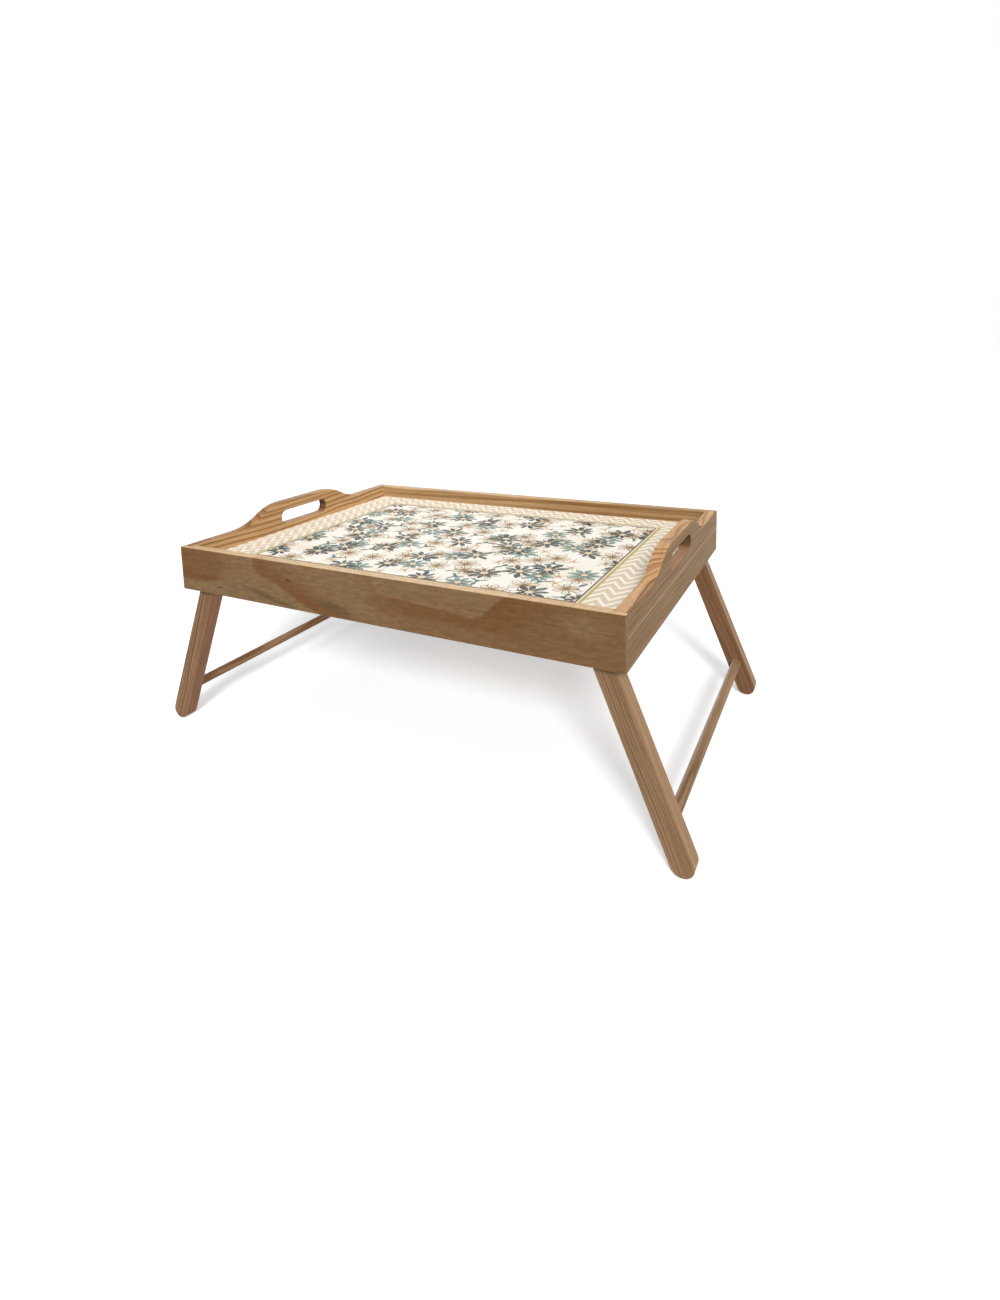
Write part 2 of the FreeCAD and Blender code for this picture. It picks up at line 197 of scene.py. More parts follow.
rings, given, result = new_group(
    "growth_rings",
    {"vector": ["Position"], "value": ["Heart Side", "Heart Depth", "Ring Width", "Wander"]},
    {"value": ["Ring"]},
)
slow = calc(rings, "SUBTRACT", cloud(rings, given["Position"], WANDER_LUMPS), NOISE_MIDDLE)
_, side, height = split(rings, given["Position"])
to_side = calc(rings, "SUBTRACT", side, given["Heart Side"])
to_depth = calc(rings, "ADD", height, given["Heart Depth"])
straight = calc(rings, "SQRT", squares(rings, to_side, to_depth))
radius = calc(rings, "MULTIPLY_ADD", slow, given["Wander"], straight)
count = calc(rings, "DIVIDE", radius, given["Ring Width"])
years = {"W": count, "Scale": UNEVEN_LUMPS, "Detail": 1.0}
uneven = put(rings, "ShaderNodeTexNoise", years, noise_dimensions="1D").outputs[0]
put_out(rings, result, {"Ring": calc(rings, "MULTIPLY_ADD", uneven, UNEVEN_YEARS, count)})

# %% [markdown]
# Within one ring the pale early wood darkens slowly into late wood, which then stops sharply where the next
# spring starts. A sine wave would be simpler, but that lopsided step is what makes softwood look like
# softwood. Each ring also gets a strength of its own, because some years leave a bolder line than others.

# %% Node group: late wood
LATE_STARTS, LATE_FULL, LATE_STOPS = 0.22, 0.88, 0.955
FAINTEST_YEAR = 0.6

late_wood, given, result = new_group("late_wood", {"value": ["Ring"]}, {"value": ["Late"]})
within = calc(late_wood, "FRACT", given["Ring"])
rise = soft_step(late_wood, within, LATE_STARTS, LATE_FULL)
stop = soft_step(late_wood, within, LATE_STOPS, 1.0, 1.0, 0.0)
year = calc(late_wood, "FLOOR", given["Ring"])
luck = put(late_wood, "ShaderNodeTexWhiteNoise", {"W": year}, noise_dimensions="1D").outputs[0]
boldness = soft_step(late_wood, luck, 0.0, 1.0, FAINTEST_YEAR, 1.0)
put_out(late_wood, result, {"Late": product(late_wood, rise, stop, boldness)})

# %% [markdown]
# Close up, wood is bundles of fibres: long fine streaks along the grain, short dark dashes where resin
# canals are cut open, a mottle where the fibres dip in and out of the face, and slow changes of tone along
# the board. One fine noise would look like sand, so there are four, each stretched along the grain by an
# amount of its own.

# %% Node group: wood fibre
FIBRES = {
    # lumps per metre along and across the grain, the noise's detail, and the levels where it sets in and ends
    "Streak": ((14.0, 620.0, 620.0), 3.0, 0.25, 0.75),
    "Dash": ((150.0, 1300.0, 1300.0), 1.0, 0.62, 0.74),
    "Mottle": ((130.0, 460.0, 460.0), 4.0, 0.30, 0.70),
    "Tone": ((8.0, 34.0, 34.0), 2.0, 0.30, 0.70),
}

fibre, given, result = new_group("wood_fibre", {"vector": ["Position"]}, {"value": FIBRES})
masks = {}
for label, (lumps, detail, start, end) in FIBRES.items():
    masks[label] = soft_step(fibre, cloud(fibre, given["Position"], lumps, detail), start, end)
put_out(fibre, result, masks)

# %% [markdown]
# Bare pine has three colours: the straw of early wood, the brown of late wood, and a warmer tone that comes
# and goes in clouds along the board. Colours are easiest to judge as they look on a screen, from 0 to 255,
# while shaders reckon in linear light, so a helper turns the one into the other.

# %% Node group: pine wood


def paint(red, green, blue):
    """A colour as it looks on a screen, 0 to 255, as the linear values that shaders use."""

    def linear(level):
        level /= 255
        return level / 12.92 if level <= 0.04045 else ((level + 0.055) / 1.055) ** 2.4

    return linear(red), linear(green), linear(blue), 1.0


def mix(tree, share, first, second, how="MIX"):
    """Goes from one colour to another, a Mix node's inputs 6 and 7, as the share goes from 0 to 1."""
    inputs = {0: share, 6: first, 7: second}
    return put(tree, "ShaderNodeMix", inputs, data_type="RGBA", blend_type=how).outputs[2]


pine_wood, given, result = new_group(
    "pine_wood",
    {"value": ["Lateness", "Tone", "Clouds"], "colour": ["Early", "Late", "Warm"]},
    {"colour": ["Colour"]},
)
wood = mix(pine_wood, given["Lateness"], given["Early"], given["Late"])
warmth = product(pine_wood, given["Tone"], given["Clouds"])
put_out(pine_wood, result, {"Colour": mix(pine_wood, warmth, wood, given["Warm"])})

# %% [markdown]
# Sanded and handled edges are paler than the faces beside them. They could be painted by hand, edge by edge.
# The Bevel node finds them all: it gives the normal that a rounder edge would have, and where that differs
# from the true one, there is an edge near. A noise breaks the worn line up.

# %% Node group: edge wear
BEVEL_SAMPLES = 4
SAME_FACE, ROUND_EDGE = 0.98, 0.80
WEAR_LUMPS = (160.0,) * 3
WEAR_STARTS, WEAR_FULL = 0.25, 0.70

edge_wear, given, result = new_group(
    "edge_wear", {"vector": ["Position"], "value": ["Width"]}, {"value": ["Wear"]}
)
rounder = put(edge_wear, "ShaderNodeBevel", {"Radius": given["Width"]}, samples=BEVEL_SAMPLES).outputs[0]
true = put(edge_wear, "ShaderNodeNewGeometry").outputs["Normal"]
likeness = put(edge_wear, "ShaderNodeVectorMath", {0: rounder, 1: true}, operation="DOT_PRODUCT")
near_edge = soft_step(edge_wear, likeness.outputs["Value"], SAME_FACE, ROUND_EDGE)
patchy = soft_step(edge_wear, cloud(edge_wear, given["Position"], WEAR_LUMPS), WEAR_STARTS, WEAR_FULL)
put_out(edge_wear, result, {"Wear": product(edge_wear, near_edge, patchy)})

# %% [markdown]
# The last layer is the same on every pine piece: streaks and mottle darken the wood towards its late colour,
# resin sits in the dashes, and the worn edges pale. The same masks say how rough the wood is and which parts
# stand proud, since late wood is harder, takes a polish and wears less than early wood. Kept in one group,
# colour, roughness and bump always agree.

# %% Node group: pine surface
RESIN, PALE = paint(96, 60, 34), paint(228, 192, 150)
WORN_SHARE = 0.3
WOOD_ROUGHNESS, STREAK_ROUGHNESS, LATE_ROUGHNESS = 0.56, 0.12, -0.08
LATE_RIDGE = 0.5

pine_surface, given, result = new_group(
    "pine_surface",
    {"colour": ["Wood", "Late"],
     "value": ["Lateness", "Streak", "Streaks", "Mottle", "Mottling", "Dash", "Dashes", "Wear"]},
    {"colour": ["Colour"], "value": ["Roughness", "Height"]},
)
streaky = product(pine_surface, given["Streak"], given["Streaks"])
mottled = product(pine_surface, given["Mottle"], given["Mottling"])
dashed = product(pine_surface, given["Dash"], given["Dashes"])
worn = product(pine_surface, given["Wear"], WORN_SHARE)
colour = mix(pine_surface, streaky, given["Wood"], given["Late"], "MULTIPLY")
colour = mix(pine_surface, mottled, colour, given["Late"], "MULTIPLY")
colour = mix(pine_surface, dashed, colour, RESIN)
colour = mix(pine_surface, worn, colour, PALE)
rough = calc(pine_surface, "MULTIPLY_ADD", given["Lateness"], LATE_ROUGHNESS, WOOD_ROUGHNESS)
rough = calc(pine_surface, "MULTIPLY_ADD", given["Streak"], STREAK_ROUGHNESS, rough)
ridges = calc(pine_surface, "MULTIPLY_ADD", given["Lateness"], LATE_RIDGE, given["Streak"])
ridges = calc(pine_surface, "SUBTRACT", ridges, given["Dash"])
put_out(pine_surface, result, {"Colour": colour, "Roughness": rough, "Height": ridges})

# %% [markdown]
# Small marks, such as a resin fleck or a faint streak, lie where they lie on the real board. A noise would
# scatter them anywhere, so each one is a slim ellipse along the grain, at a place of its own, with a soft
# rim. Its length and width are given in metres, and it may tilt.

# %% Node group: grain mark
MARK_RIM, MARK_FULL = 0.5, 0.2

grain_mark, given, result = new_group(
    "grain_mark",
    {"vector": ["Position"], "value": ["Along", "Height", "Tilt", "Length", "Width", "Strength"]},
    {"value": ["Mark"]},
)
along, _, height = split(grain_mark, given["Position"])
off_along = calc(grain_mark, "SUBTRACT", along, given["Along"])
off_height = calc(grain_mark, "SUBTRACT", height, given["Height"])
off_height = calc(grain_mark, "SUBTRACT", off_height, product(grain_mark, off_along, given["Tilt"]))
long_share = calc(grain_mark, "DIVIDE", off_along, given["Length"])
wide_share = calc(grain_mark, "DIVIDE", off_height, given["Width"])
mark = soft_step(grain_mark, squares(grain_mark, long_share, wide_share), MARK_RIM ** 2, MARK_FULL ** 2)
put_out(grain_mark, result, {"Mark": product(grain_mark, mark, given["Strength"])})


def marked(tree, position, wood, marks):
    """Lays marks on the wood, each (along, height, tilt, length, width, strength, colour)."""
    for along, height, tilt, length, width, strength, mark_paint in marks:
        values = {"Position": position, "Along": along, "Height": height, "Tilt": tilt, "Length": length,
                  "Width": width, "Strength": strength}
        wood = mix(tree, use(tree, grain_mark, values)["Mark"], wood, mark_paint)
    return wood


# %% [markdown]
# A board's narrow faces get colours of their own. Where these are paler, they are painted light: all of it on
# the legs' sides, and in part on the tops of the rails, as a painted highlight from above. They could have a
# material of their own, but then the grain would stop at the edge. A mask by the face's direction changes the
# colours alone, and fades over the rounded edge between.

# %% Node group: narrow faces
SIDEWAYS, UP = (1.0, 0.0, 0.0), (0.0, 0.0, 1.0)
TURNED_AWAY, TURNED_TO = 0.50, 0.85

# Facing picks the faces whose colours carry painted light: the legs' sides, and the paler rail tops in part.
narrow_faces, given, result = new_group(
    "narrow_faces", {"vector": ["Normal", "Axis"]}, {"value": ["Facing"]}
)
towards = put(narrow_faces, "ShaderNodeVectorMath", {0: given["Normal"], 1: given["Axis"]},
              operation="DOT_PRODUCT").outputs["Value"]
facing = soft_step(narrow_faces, calc(narrow_faces, "ABSOLUTE", towards), TURNED_AWAY, TURNED_TO)
put_out(narrow_faces, result, {"Facing": facing})

# %% [markdown]
# Each end rail has a hand slot, and the slot's walls are painted darker, as the shade inside the slot. The
# slot's ends are darkest, in part as painted shade and in part because the grain is cut across there. A
# second material would need the mesh cut apart, so a mask finds the walls: in a little more than the room for
# the fingers, which the record gives, it takes only faces that don't look along the tray.

# %% Node group: hand slot
SLOT_ROUND_END, SLOT_MARGIN = 8.0 * MM, 1.0 * MM
# painted shade for the slot's walls, darkest at the slot's ends
SLOT_WALL_SHADE, SLOT_END_SHADE_AND_GRAIN = paint(164, 122, 88), paint(92, 60, 34)
OUTER_FACE, WALL_FACE = 0.6, 0.4
SIDE_WALL, END_WALL = 0.3, 0.9
WALL_SHARE = 0.85

openings = {opening["name"]: opening["box_m"] for opening in frame["record"]["physics"]["openings"]}
slot_low, slot_high = openings["left_hand_slot"]
rail_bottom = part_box("left_end_rail")[0].z
slot_half = slot_high[1] + SLOT_ROUND_END
slot_floor = slot_low[2] - rail_bottom - SLOT_MARGIN
slot_roof = slot_high[2] - rail_bottom + SLOT_MARGIN

hand_slot, given, result = new_group(
    "hand_slot", {"vector": ["Position", "Normal"], "colour": ["Wood"]}, {"colour": ["Colour"]}
)
along, _, height = split(hand_slot, given["Position"])
outward, endwise, _ = split(hand_slot, given["Normal"])
within = product(
    hand_slot,
    calc(hand_slot, "LESS_THAN", calc(hand_slot, "ABSOLUTE", along), slot_half),
    calc(hand_slot, "GREATER_THAN", height, slot_floor),
    calc(hand_slot, "LESS_THAN", height, slot_roof),
)
wall = soft_step(hand_slot, calc(hand_slot, "ABSOLUTE", outward), OUTER_FACE, WALL_FACE)
end = soft_step(hand_slot, calc(hand_slot, "ABSOLUTE", endwise), SIDE_WALL, END_WALL)
slot_shade = mix(hand_slot, end, SLOT_WALL_SHADE, SLOT_END_SHADE_AND_GRAIN)
share = product(hand_slot, within, wall, WALL_SHARE)
put_out(hand_slot, result, {"Colour": mix(hand_slot, share, given["Wood"], slot_shade)})

# %% [markdown]
# A finish ends in a Principled shader, which stays in the material itself. The CAD pieces came with plain
# one-colour materials. Those could be changed, but a fresh one for each finish keeps the names clear.

# %% Helpers for a finish


def new_finish(name):
    """An empty material with a Principled shader; returns it with its tree and that shader."""
    material = bpy.data.materials.new(name)
    material.use_nodes = True
    return material, material.node_tree, material.node_tree.nodes["Principled BSDF"]


def bumped(tree, shader, height, strength, depth):
    """Lets a height catch the light as if it stood proud, while the piece keeps its shape."""
    values = {"Height": height, "Strength": strength, "Distance": depth}
    tree.links.new(put(tree, "ShaderNodeBump", values).outputs[0], shader.inputs["Normal"])


def finish(names, material):
    """Gives CAD pieces a material in place of the one they came with."""
    for name in names:
        slots = frame["nodes"][name].data.materials
        slots.clear()
        slots.append(material)
    print(material.name, "on", ", ".join(names))


print("materials so far:", len(bpy.data.materials))

# %% [markdown]
# A pine finish needs to know where in the board it is. World coordinates would leave the grain behind when a
# leg folds, so the piece's own are turned into grain coordinates: X along the fibres, and Z up from the
# board's lower edge. The rings then ask for the place of the trunk's heart beside the board, and for a shift
# along the trunk, so that no two pieces look sawn from the same spot.

# %% Grain coordinates and rings
GRAIN_ALONG_X = (0.0, 0.0, 0.0)
GRAIN_ALONG_Y = (0.0, 0.0, math.radians(90))


def grain_position(tree, own, origin, turned):
    """Grain coordinates in metres, from the piece's own, so that they move with it."""
    values = {"Vector": own, "Location": origin, "Rotation": turned}
    return put(tree, "ShaderNodeMapping", values, vector_type="TEXTURE").outputs[0]


def ringed(heart, ring, wander, shift):
    """How late the wood is, by rings round a heart that lies so far to the side and below the board."""

    def lateness(tree, position):
        sawn = vector_calc(tree, "ADD", position, (shift, 0.0, 0.0))
        values = {"Position": sawn, "Heart Side": heart[0], "Heart Depth": heart[1],
                  "Ring Width": ring, "Wander": wander}
        return use(tree, late_wood, {"Ring": use(tree, rings, values)["Ring"]})["Late"]

    return lateness


print("grain turned by", GRAIN_ALONG_X, "or", GRAIN_ALONG_Y)

# %% [markdown]
# One function dresses a pine piece. It places the groups in a new material and lays the colours over one
# another: the wood, its marks, other colours on narrow faces, the slot's walls, and the surface last. One
# material for all the wood would be quicker, but boards of one tray never match, so each piece gets its own
# values.

# %% The pine finish
WORN_WIDTH = 1.4 * MM
FIBRE_DEPTH, FIBRE_STRENGTH = 0.10 * MM, 0.3
WOOD_GLOSS = 0.18


def pine(name, origin, turned, lateness_of, early, late, warm, clouds=0.35, streaks=0.30, mottling=0.10,
         dashes=0.30, edges=None, marks=(), slotted=False):
    """A pine finish. lateness_of adds the nodes for how late the wood is, and edges is (axis, early, late)
    for the faces that look along an axis."""
    material, tree, shader = new_finish(name)
    own = put(tree, "ShaderNodeTexCoord").outputs
    position = grain_position(tree, own["Object"], origin, turned)
    lateness = lateness_of(tree, position)
    fibres = use(tree, fibre, {"Position": position})

    wood = use(tree, pine_wood, {"Lateness": lateness, "Tone": fibres["Tone"], "Clouds": clouds,
                                 "Early": early, "Late": late, "Warm": warm})["Colour"]
    wood = marked(tree, position, wood, marks)
    if edges:
        axis, edge_early, edge_late = edges
        facing = use(tree, narrow_faces, {"Normal": own["Normal"], "Axis": axis})["Facing"]
        wood = mix(tree, facing, wood, mix(tree, lateness, edge_early, edge_late))
    # the slot's walls get their painted shade
    if slotted:
        walls = {"Position": position, "Normal": own["Normal"], "Wood": wood}
        wood = use(tree, hand_slot, walls)["Colour"]

    wear = use(tree, edge_wear, {"Width": WORN_WIDTH, "Position": position})["Wear"]
    surface = use(tree, pine_surface, {
        "Wood": wood, "Late": late, "Lateness": lateness, "Wear": wear,
        "Streak": fibres["Streak"], "Mottle": fibres["Mottle"], "Dash": fibres["Dash"],
        "Streaks": streaks, "Mottling": mottling, "Dashes": dashes,
    })
    tree.links.new(surface["Colour"], shader.inputs["Base Color"])
    tree.links.new(surface["Roughness"], shader.inputs["Roughness"])
    shader.inputs["Specular IOR Level"].default_value = WOOD_GLOSS
    bumped(tree, shader, surface["Height"], FIBRE_STRENGTH, FIBRE_DEPTH)
    return material


print("pine wears", WORN_WIDTH, "m in from its edges")

# %% [markdown]
# The front rail is flat-sawn, so its face cuts the rings at a shallow slant: a few broad patches instead of
# stripes. Rings in the solid could give them, but only by hunting for the one trunk that fits. The shapes
# are drawn straight on the face instead, each as the distance from a few straight edges with rounded
# corners between them.

# %% Front rail: shapes with straight edges


def edge_distance(tree, face, point, degrees):
    """Metres from a line through a point of the face, positive on the side that the angle looks to."""
    across, up = math.cos(math.radians(degrees)), math.sin(math.radians(degrees))
    first = calc(tree, "MULTIPLY", calc(tree, "SUBTRACT", face[0], point[0]), across)
    return calc(tree, "MULTIPLY_ADD", calc(tree, "SUBTRACT", face[1], point[1]), up, first)


def inside(tree, face, edges, rounding):
    """Metres inside a shape that straight edges bound, each a point and the angle that looks inwards."""
    distances = [edge_distance(tree, face, *edge) for edge in edges]
    nearest = distances[0]
    for distance in distances[1:]:
        nearest = calc(tree, "SMOOTH_MIN", nearest, distance, rounding)
    return nearest


print("edges ready")

# %% [markdown]
# A brown flame sweeps down across the left half of the rail, sharp along its lower edge and fading upwards.
# Left of it, a second brown patch fills the corner above a low arch. Each tone is a sharp rim times a fade.

# %% Front rail: flame and corner
FLAME_EDGES = [((-0.1455, 0.0400), 0.0), ((-0.1067, 0.0205), 67.0)]
FLAME_ROUNDING = 0.018
FLAME_RIM, FLAME_FADE = (-0.0006, 0.0018), (0.032, 0.004)
CORNER_MIDDLE, CORNER_LOW, CORNER_SLOPE = -0.2250, 0.0100, 0.2
CORNER_RIM, CORNER_FADE = (-0.0012, 0.0030), (-0.164, -0.210)


def flame_tone(tree, face):
    """How brown the flame is, from 0 to 1."""
    flame = inside(tree, face, FLAME_EDGES, FLAME_ROUNDING)
    return product(tree, soft_step(tree, flame, *FLAME_RIM), soft_step(tree, flame, *FLAME_FADE))


def corner_tone(tree, face):
    """How brown the left corner is, from 0 to 1."""
    from_middle = calc(tree, "ABSOLUTE", calc(tree, "SUBTRACT", face[0], CORNER_MIDDLE))
    arch = calc(tree, "MULTIPLY_ADD", from_middle, CORNER_SLOPE, CORNER_LOW)
    above = calc(tree, "SUBTRACT", face[1], arch)
    return product(tree, soft_step(tree, above, *CORNER_RIM), soft_step(tree, face[0], *CORNER_FADE))


print("flame edges:", len(FLAME_EDGES))

# %% [markdown]
# A pale boat-shaped patch hangs from the top edge right of the middle. The wood round it is brown, darkest
# beside the patch, and fades out to the lower left.

# %% Front rail: pale patch
PATCH_EDGES = [((0.0067, 0.0447), 36.9), ((0.0500, 0.0285), 85.7), ((0.1325, 0.0347), 133.0)]
PATCH_ROUNDING = 0.008
PATCH_RIM = (0.0016, -0.0008)
FAR_AND_NEAR, FAR_AND_NEAR_TONES = (-0.060, -0.004), (0.50, 0.95)
FADE_POINT, FADE_LEAN, FADE_REACH = (0.0080, 0.0280), 40.0, (-0.012, 0.034)


def patch_tone(tree, face):
    """How brown the wood round the pale patch is, from 0 to 1."""
    patch = inside(tree, face, PATCH_EDGES, PATCH_ROUNDING)
    outside = soft_step(tree, patch, *PATCH_RIM)
    nearness = soft_step(tree, patch, *FAR_AND_NEAR, *FAR_AND_NEAR_TONES)
    faded = soft_step(tree, edge_distance(tree, face, FADE_POINT, FADE_LEAN), *FADE_REACH)
    return product(tree, outside, nearness, faded)


print("patch edges:", len(PATCH_EDGES))

# %% [markdown]
# Put together, the browner of the shapes counts at each spot. Clean outlines would look cut from paper, so
# two noises push the place about before the shapes are asked: slow lumps bend them, and a fine one,
# stretched along the grain, frays their edges into fibres.

# %% Front rail: the whole figure
BEND_LUMPS, FRAY_LUMPS = (30.0, 60.0, 60.0), (110.0, 900.0, 900.0)
BEND_DETAIL = 3.0
BEND_ALONG, BEND_UP, FRAY_UP = 0.012, 0.005, 0.0030
BEND_TONE = 0.30


def front_figure(tree, position):
    """How late the front rail's wood is, from 0 to 1."""
    bend = calc(tree, "SUBTRACT", cloud(tree, position, BEND_LUMPS, BEND_DETAIL), NOISE_MIDDLE)
    fray = calc(tree, "SUBTRACT", cloud(tree, position, FRAY_LUMPS), NOISE_MIDDLE)
    along, _, height = split(tree, position)
    height = calc(tree, "MULTIPLY_ADD", fray, FRAY_UP, height)
    face = (calc(tree, "MULTIPLY_ADD", bend, BEND_ALONG, along),
            calc(tree, "MULTIPLY_ADD", bend, BEND_UP, height))
    tone = calc(tree, "MAXIMUM", flame_tone(tree, face), corner_tone(tree, face))
    tone = calc(tree, "MAXIMUM", tone, patch_tone(tree, face))
    return calc(tree, "MULTIPLY_ADD", bend, BEND_TONE, tone)


print("front figure ready")

# %% [markdown]
# The rail's face is olive brown with darker smoky and rusty spots, and a few small knots. Its top edge is
# much paler, in part as paler wood and in part as a painted highlight from above, which draws the bright
# line along the front of the tray.

# %% Front rail


def board_origin(name):
    """The middle of a board's lower edge."""
    low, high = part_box(name)
    middle = (low + high) / 2
    return middle.x, middle.y, low.z


KNOT, OLIVE = paint(66, 42, 24), paint(140, 113, 79)
RUST, SMOKE = paint(128, 90, 56), paint(108, 86, 57)
FRONT_MARKS = [
    # along, height, tilt, length, width, strength, colour
    (-0.0945, 0.0300, -0.12, 0.0110, 0.0026, 0.90, KNOT),
    (-0.1930, 0.0095, 0.10, 0.0100, 0.0024, 0.80, KNOT),
    (0.2340, 0.0290, 0.00, 0.0070, 0.0020, 0.60, RESIN),
    (-0.1220, 0.0085, -0.20, 0.0900, 0.0080, 0.75, SMOKE),
    (-0.0380, 0.0095, -0.22, 0.0560, 0.0130, 0.90, SMOKE),
    (0.0340, 0.0220, -0.06, 0.0850, 0.0220, 0.60, RUST),
    (0.2150, 0.0310, -0.10, 0.0520, 0.0260, 0.65, OLIVE),
    (0.0900, 0.0060, 0.00, 0.1700, 0.0260, 0.45, OLIVE),
]

finish(["front_rail"], pine(
    "front_rail_pine", board_origin("front_rail"), GRAIN_ALONG_X, front_figure,
    early=OLIVE, late=paint(121, 82, 44), warm=paint(134, 98, 62), clouds=0.30,
    streaks=0.12, mottling=0.26, dashes=0.45,
    # the top edge's pale colours: in part a painted highlight from above
    edges=(UP, paint(228, 196, 152), paint(212, 174, 126)), marks=FRONT_MARKS,
))

# %% [markdown]
# The back rail is sawn closer to the radius, so its face carries straight stripes. Rings alone would space
# them too evenly, so the long brown stripes that catch the eye are marks, slim and about as long as the rail.

# %% Back rail
STRIPE_BROWN = paint(122, 82, 42)
BACK_STRIPES = [
    # along, height, tilt, length, width, strength
    (-0.140, 0.0395, 0.014, 0.34, 0.0045, 0.55),
    (0.030, 0.0425, 0.008, 0.42, 0.0036, 0.55),
    (0.120, 0.0450, 0.002, 0.36, 0.0045, 0.60),
    (0.200, 0.0415, 0.004, 0.24, 0.0030, 0.50),
    (0.150, 0.0345, 0.006, 0.44, 0.0055, 0.60),
    (-0.030, 0.0350, 0.006, 0.22, 0.0028, 0.35),
    (0.220, 0.0300, 0.000, 0.56, 0.0600, 0.25),
]

finish(["back_rail"], pine(
    "back_rail_pine", board_origin("back_rail"), GRAIN_ALONG_X,
    ringed(heart=(0.030, 0.200), ring=0.0120, wander=0.016, shift=0.9),
    early=paint(206, 174, 128), late=paint(126, 90, 52), warm=paint(178, 139, 92),
    edges=(UP, paint(206, 170, 128), paint(168, 124, 80)),
    marks=[(*stripe, STRIPE_BROWN) for stripe in BACK_STRIPES],
))

# %% [markdown]
# The end rails have narrower rings. On the sloping tops of the handles the stripes are cut at a slant and
# open into bold bands, which comes by itself from rings worked out in the solid. The left rail is pale and
# striped, the right one browner with a golden top, so each has colours of its own. That golden top is in part
# a painted highlight from above.

# %% End rails
RIGHT_MARKS = [
    # along, height, tilt, length, width, strength, colour
    (0.000, 0.0275, 0.0, 0.60, 0.0022, 0.45, PALE),
    (-0.165, 0.0240, 0.0, 0.060, 0.010, 0.45, RUST),
    (-0.180, 0.0160, 0.1, 0.040, 0.007, 0.45, RUST),
    (-0.020, 0.0400, 0.0, 0.110, 0.016, 0.35, RUST),
]

finish(["left_end_rail"], pine(
    "left_end_rail_pine", board_origin("left_end_rail"), GRAIN_ALONG_Y,
    ringed(heart=(0.040, 0.150), ring=0.0066, wander=0.016, shift=1.7),
    early=paint(208, 170, 120), late=paint(126, 80, 38), warm=paint(185, 142, 92), clouds=0.25,
    edges=(UP, paint(178, 134, 88), paint(128, 82, 44)), slotted=True,
))
finish(["right_end_rail"], pine(
    "right_end_rail_pine", board_origin("right_end_rail"), GRAIN_ALONG_Y,
    ringed(heart=(-0.050, 0.150), ring=0.0040, wander=0.020, shift=0.6),
    early=paint(153, 122, 82), late=paint(112, 82, 49), warm=paint(140, 106, 69), dashes=0.45,
    # the golden top: in part a painted highlight from above
    edges=(UP, paint(218, 174, 124), paint(148, 90, 48)), marks=RIGHT_MARKS, slotted=True,
))

# %% [markdown]
# The legs are slim bars with close, straight grain. A leg leans, so its grain coordinates are turned to run
# from the pivot screw to the stretcher, both read from the frame. The bars' narrow sides get a paler colour
# than the faces, which is painted light.

# %% Legs
BAR_WANDER = 0.012
# side: the paler colour of a leg's narrow sides, which is painted light
LEG_WOODS = {
    "left_front": dict(
        heart=(0.032, 0.046), ring=0.0034, shift=0.3,
        early=paint(163, 126, 92), late=paint(80, 54, 34),
        warm=paint(147, 104, 75), side=paint(172, 127, 97)),
    "left_back": dict(
        heart=(-0.050, 0.040), ring=0.0034, shift=1.1,
        early=paint(150, 114, 83), late=paint(94, 65, 41),
        warm=paint(146, 104, 74), side=paint(172, 130, 98)),
    "right_front": dict(
        heart=(0.035, 0.045), ring=0.0030, shift=2.3,
        early=paint(166, 134, 101), late=paint(104, 76, 48),
        warm=paint(150, 116, 82), side=paint(176, 141, 106)),
    "right_back": dict(
        heart=(-0.052, 0.028), ring=0.0030, shift=3.2,
        early=paint(138, 102, 73), late=paint(108, 77, 50),
        warm=paint(133, 94, 66), side=paint(168, 138, 106)),
}


def middle_of(name):
    """The middle of a piece's box."""
    return sum(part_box(name), Vector()) / 2


for corner, wood in LEG_WOODS.items():
    pivot = middle_of(f"{corner}_pivot_screw")
    bar = middle_of(f"{corner.split('_')[0]}_stretcher")
    lean = math.atan2(bar.x - pivot.x, pivot.z - bar.z)
    finish([f"{corner}_leg"], pine(
        f"{corner}_leg_pine", tuple(pivot), (0.0, math.radians(90) - lean, 0.0),
        ringed(wood["heart"], wood["ring"], BAR_WANDER, wood["shift"]),
        early=wood["early"], late=wood["late"], warm=wood["warm"],
        # the narrow sides get their painted light here
        edges=(SIDEWAYS, wood["side"], wood["warm"]),
    ))

# %% [markdown]
# A stretcher is a dowel turned from the same timber, so rings in the solid give it long pointed ovals where
# the turning cuts them. It has no narrow faces and needs no marks.

# %% Stretchers
DOWEL_HEART, DOWEL_RING = (0.030, 0.040), 0.0036
DOWEL_WOODS = {
    "left": dict(
        shift=0.4, early=paint(178, 140, 102), late=paint(122, 86, 56), warm=paint(164, 122, 86)),
    "right": dict(
        shift=1.3, early=paint(160, 128, 94), late=paint(108, 78, 50), warm=paint(146, 112, 80)),
}

for side, wood in DOWEL_WOODS.items():
    finish([f"{side}_stretcher"], pine(
        f"{side}_stretcher_pine", board_origin(f"{side}_stretcher"), GRAIN_ALONG_Y,
        ringed(DOWEL_HEART, DOWEL_RING, BAR_WANDER, wood["shift"]),
        early=wood["early"], late=wood["late"], warm=wood["warm"],
    ))

# %% [markdown]
# The bottom of the tray carries a printed sheet: a zigzag border, a thin frame, and a field of scattered
# blossoms. The print could be an image, but drawn with sums on the sheet's own X and Y it stays sharp at any
# distance. A blossom is a group, used once for each kind. A Voronoi texture gives every spot the nearest of
# many scattered centres, and petals are drawn by distance and angle from that centre. Each petal draws a
# length of its own, so a blossom looks ragged, as cornflowers do, and no two are the same.

# %% Node group: blossom scatter, its centres
SHAPE = ("Pitch", "Jitter", "Radius", "Petals", "Width", "Bluntness", "Raggedness", "Line")

